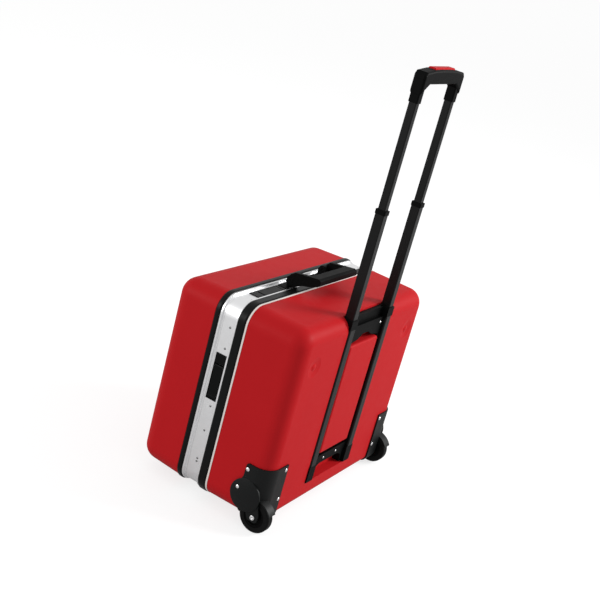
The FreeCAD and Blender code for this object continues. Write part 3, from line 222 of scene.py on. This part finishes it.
FINISHES = {
    "shell": moulded("red_shell", (0.405, 0.0085, 0.0115), (0.445, 0.0105, 0.0135), 0.46, 900,
                     6e-5, 0.0008, 0.05),
    "bumper": moulded("black_bumper", (0.0015, 0.0018, 0.0019), (0.003, 0.0034, 0.0035), 0.34,
                      1500, 3e-5, 0.0010, 0.14),
    "band": metal("aluminium_band", (0.88, 0.88, 0.89), (0.95, 0.95, 0.96), 0.36, (12, 1, 1),
                  0.0004),
    "piping": moulded("pale_piping", (0.66, 0.60, 0.57), (0.74, 0.68, 0.65), 0.5, 1500, 2e-5,
                      0.0008, 0.3),
    "seal": moulded("seal_rubber", (0.006, 0.006, 0.006), (0.01, 0.01, 0.01), 0.6, 1500, 2e-5,
                    0.0004, 0.2),
    "lining": woven("lining_cloth", (0.016, 0.016, 0.019), (0.05, 0.05, 0.056), 0.0012, 2e-4),
    "black_plastic": moulded("black_plastic", (0.0034, 0.004, 0.004), (0.0056, 0.0062, 0.0062),
                             0.44, 1300, 3e-5, 0.0008, 0.17),
    "latch_metal": moulded("latch_black", (0.001, 0.0012, 0.0012), (0.0022, 0.0024, 0.0024),
                           0.32, 1800, 1e-5, 0.0006, 0.10),
    "rivet_steel": metal("dark_rivets", (0.16, 0.16, 0.16), (0.26, 0.26, 0.26), 0.4,
                         (1, 1, 1), 0.0003),
    "steel": metal("bright_steel", (0.74, 0.74, 0.74), (0.88, 0.88, 0.88), 0.3, (6, 1, 1),
                   0.0003),
    "outer_tube": moulded("black_outer_tube", (0.0018, 0.002, 0.002), (0.003, 0.0032, 0.0032),
                          0.36, 2200, 1e-5, 0.0006, 0.2),
    "inner_tube": moulded("black_inner_tube", (0.0018, 0.002, 0.002), (0.003, 0.0032, 0.0032),
                          0.34, 2200, 1e-5, 0.0006, 0.2),
    "tyre_rubber": moulded("tyre_rubber", (0.0012, 0.0012, 0.0012), (0.003, 0.003, 0.003), 0.5,
                           1100, 5e-5, 0.0008, 0.12),
    "hub": moulded("hub_plastic", (0.001, 0.001, 0.001), (0.002, 0.002, 0.002), 0.42, 1400,
                   3e-5, 0.0006, 0.06),
    "button": moulded("red_button", (0.44, 0.009, 0.011), (0.50, 0.012, 0.014), 0.42, 1500,
                      2e-5, 0.0006, 0.03),
}
MATT_BLACK = moulded("matt_black_plastic", (0.0012, 0.0014, 0.0014), (0.0026, 0.0028, 0.0028),
                     0.5, 1300, 3e-5, 0.0008, 0.05)
MATT_NODES = ("grip_lower", "grip_upper", "top_bracket", "bottom_bracket", "carry_handle",
              "handle_base", "middle_collars")
for part in frame["record"]["subparts"]:
    mesh = frame["nodes"][part["node"]].data
    mesh.materials.clear()
    matt = part["node"] in MATT_NODES
    mesh.materials.append(MATT_BLACK if matt else FINISHES[part["material_slot"]])

# ---------------------------------------------------------------- quilted linings

CASE_HALF, CASE_LOW, CASE_HIGH = 0.271, 0.017, 0.457
CASE_MIDDLE = (CASE_LOW + CASE_HIGH) / 2
QUILT_PITCH = 0.062
WELL_X, WELL_Y, WELL_TOP = 0.2315, 0.088, 0.088
PADDING, QUILT_RISE, HEM_RISE = 0.0022, 0.0034, 0.0030


def outline_points(inset, radius):
    """Points round the case's outline, drawn in by an inset, each with its outward direction."""
    half, low, high = CASE_HALF - inset, CASE_LOW + inset, CASE_HIGH - inset
    centres = [(half - radius, high - radius), (radius - half, high - radius),
               (radius - half, low + radius), (half - radius, low + radius)]
    points = []
    for quarter, (x, z) in enumerate(centres):
        for step in range(7):
            angle = (quarter + step / 6) * math.pi / 2
            out = Vector((math.cos(angle), 0, math.sin(angle)))
            points.append((Vector((x, 0, z)) + out * radius, out))
        end, out = points[-1]
        next_x, next_z = centres[(quarter + 1) % 4]
        far = Vector((next_x, 0, next_z)) + out * radius
        count = 34 if quarter % 2 == 0 else 26
        points += [(end.lerp(far, step / count), out) for step in range(1, count)]
    return points


def puff(along, across):
    """How full a diamond quilt is at a point: 0 on its seams and 1 in the middle of a diamond."""
    first = math.sin(math.pi * (along + across) / QUILT_PITCH)
    second = math.sin(math.pi * (along - across) / QUILT_PITCH)
    return abs(first * second) ** 0.4


def round_wells(spot, clearance):
    """Keeps a point of the base's lining inside the walls of the two wheel wells."""
    if spot.y > WELL_Y and spot.z < WELL_TOP:
        limit = WELL_X - clearance
        spot.x = max(-limit, min(limit, spot.x))
    return spot


def quilted_tray(name, node, body, mouth_y, floor_y, inset, radius, fold, wells):
    """A padded cloth tray in one half of the case: a rolled hem, quilted walls and floor."""
    ring = outline_points(inset, radius)
    around = [0.0]
    for (before, _), (after, _) in zip(ring, ring[1:]):
        around.append(around[-1] + (after - before).length)
    towards = math.copysign(1, floor_y - mouth_y)
    mesh = bmesh.new()

    def row(depth, thickness):
        """One turn round the wall, at a depth from the mouth, thickness inside its outer face."""
        past = max(depth - (abs(floor_y - mouth_y) - fold), 0)
        drawn = fold - math.sqrt(max(fold * fold - past * past, 0))
        made = []
        for (point, out), along in zip(ring, around):
            full = puff(along, depth) * min(1, depth / 0.02) * (1 - past / fold)
            hem = math.exp(-((depth - 0.004) / 0.003) ** 2)
            thick = thickness * (PADDING + QUILT_RISE * full + HEM_RISE * hem)
            spot = point - out * (drawn + thick)
            spot.y = mouth_y + towards * depth
            if wells:
                round_wells(spot, thickness * 0.004)
            made.append(mesh.verts.new(spot))
        return made

    def floor_rows(depth, thickness, edge):
        """The floor's turns, from a wall's last row in to the middle."""
        rows = [edge]
        for step in range(1, 30):
            share = step / 30
            made = []
            for vert in edge:
                x = vert.co.x * (1 - share)
                z = CASE_MIDDLE + (vert.co.z - CASE_MIDDLE) * (1 - share)
                full = puff(x + 0.5, z) * min(1, share / 0.06)
                rise = depth - thickness * (PADDING + QUILT_RISE * full)
                made.append(mesh.verts.new((x, mouth_y + towards * rise, z)))
            rows.append(made)
        return rows

    deep = abs(floor_y - mouth_y)
    levels = [0.0, 0.002, 0.004, 0.006, 0.009, 0.012] + [
        0.012 + (deep - 0.012) * step / 24 for step in range(1, 24)]
    outer = [row(level, 0) for level in levels + [deep]]
    inner = [row(level, 1) for level in levels if level < deep - 0.004]
    inner.append(row(deep - 0.0024, 1))
    outer += floor_rows(deep, 0, outer[-1])[1:]
    inner += floor_rows(deep, 1, inner[-1])[1:]
    count = len(ring)
    for rows in (outer, inner):
        for first, second in zip(rows, rows[1:]):
            for here in range(count):
                there = (here + 1) % count
                mesh.faces.new((first[here], first[there], second[there], second[here]))
        mesh.faces.new(rows[-1])
    for here in range(count):
        there = (here + 1) % count
        mesh.faces.new((outer[0][here], inner[0][here], inner[0][there], outer[0][there]))
    bmesh.ops.recalc_face_normals(mesh, faces=mesh.faces)
    data = bpy.data.meshes.new(name)
    mesh.to_mesh(data)
    mesh.free()
    data.polygons.foreach_set("use_smooth", [True] * len(data.polygons))
    data.materials.append(FINISHES["lining"])
    tray = bpy.data.objects.new(name, data)
    bpy.context.scene.collection.objects.link(tray)
    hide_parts(node)
    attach(tray, body)


quilted_tray("base_quilted_lining", "base_lining", "base", -0.042, 0.1219, 0.0192, 0.0228,
             0.006, True)
quilted_tray("lid_quilted_lining", "lid_lining", "lid", -0.055, -0.1698, 0.0222, 0.0198, 0.019,
             False)

# ---------------------------------------------------------------- button springs

SPRING_RADIUS, SPRING_WIRE, SPRING_TURNS, RING_STEPS, WIRE_SIDES = 0.0032, 0.0006, 3, 24, 8
UP = Vector((0, 0, 1))


def coil(mesh, x, y, low, high):
    """A helical spring of round wire that stands between two heights."""
    steps = SPRING_TURNS * RING_STEPS
    rise = (high - low - 2 * SPRING_WIRE) / steps
    rings = []
    for step in range(steps + 1):
        angle = step / RING_STEPS * 2 * math.pi
        out = Vector((math.cos(angle), math.sin(angle), 0))
        middle = Vector((x, y, low + SPRING_WIRE + rise * step)) + out * SPRING_RADIUS
        turns = [side / WIRE_SIDES * 2 * math.pi for side in range(WIRE_SIDES)]
        rings.append([mesh.verts.new(middle + SPRING_WIRE * (math.cos(turn) * out +
                                                             math.sin(turn) * UP))
                      for turn in turns])
    for first, second in zip(rings, rings[1:]):
        for here in range(WIRE_SIDES):
            there = (here + 1) % WIRE_SIDES
            mesh.faces.new((first[here], first[there], second[there], second[here]))
    mesh.faces.new(rings[0])
    mesh.faces.new(rings[-1])


spring_low, spring_high = (Vector(corner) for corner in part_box("button_springs"))
build = bmesh.new()
for sign in (1, -1):
    coil(build, sign * (spring_high.x - SPRING_RADIUS - SPRING_WIRE),
         (spring_low.y + spring_high.y) / 2, spring_low.z, spring_high.z)
bmesh.ops.recalc_face_normals(build, faces=build.faces)
spring_mesh = bpy.data.meshes.new("button_coils")
build.to_mesh(spring_mesh)
build.free()
spring_mesh.polygons.foreach_set("use_smooth", [True] * len(spring_mesh.polygons))
spring_mesh.materials.append(FINISHES["steel"])
coils = bpy.data.objects.new("button_coils", spring_mesh)
bpy.context.scene.collection.objects.link(coils)
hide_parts("button_springs")
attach(coils, "upper_stage")
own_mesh(coils)

# ---------------------------------------------------------------- floor and light

floor_mesh = bpy.data.meshes.new("floor")
build = bmesh.new()
bmesh.ops.create_grid(build, x_segments=8, y_segments=8, size=120)
build.to_mesh(floor_mesh)
build.free()
floor = bpy.data.objects.new("floor", floor_mesh)
floor.location.z = -0.0005
bpy.context.scene.collection.objects.link(floor)
paper = Nodes("floor_paper")
paper.put("Base Color", (0.30, 0.30, 0.30, 1))
paper.put("Roughness", 0.9)
paper.put("Specular IOR Level", 0.0)
paper.put("Emission Color", (1, 1, 1, 1))
seen = paper.add("ShaderNodeLightPath").outputs["Is Camera Ray"]
paper.link(paper.mapped(seen, 0.22, 0.74), paper.shader.inputs["Emission Strength"])
floor_mesh.materials.append(paper.material)

world = bpy.data.worlds.new("studio")
world.use_nodes = True
backdrop = world.node_tree.nodes["Background"]
backdrop.inputs["Color"].default_value = (1, 1, 1, 1)
backdrop.inputs["Strength"].default_value = 0.78
bpy.context.scene.world = world


def soft_light(name, where, aim, size, power):
    data = bpy.data.lights.new(name, "AREA")
    data.shape = "DISK"
    data.size = size
    data.energy = power
    light = bpy.data.objects.new(name, data)
    light.location = where
    light.rotation_mode = "QUATERNION"
    light.rotation_quaternion = (Vector(aim) - Vector(where)).to_track_quat("-Z", "Y")
    bpy.context.scene.collection.objects.link(light)


soft_light("key", (-2.3, 2.7, 2.1), (0, 0, 0.3), 1.6, 145)
soft_light("side", (2.7, -2.4, 1.3), (0, 0, 0.3), 1.6, 50)
bpy.context.scene.view_settings.view_transform = "Standard"
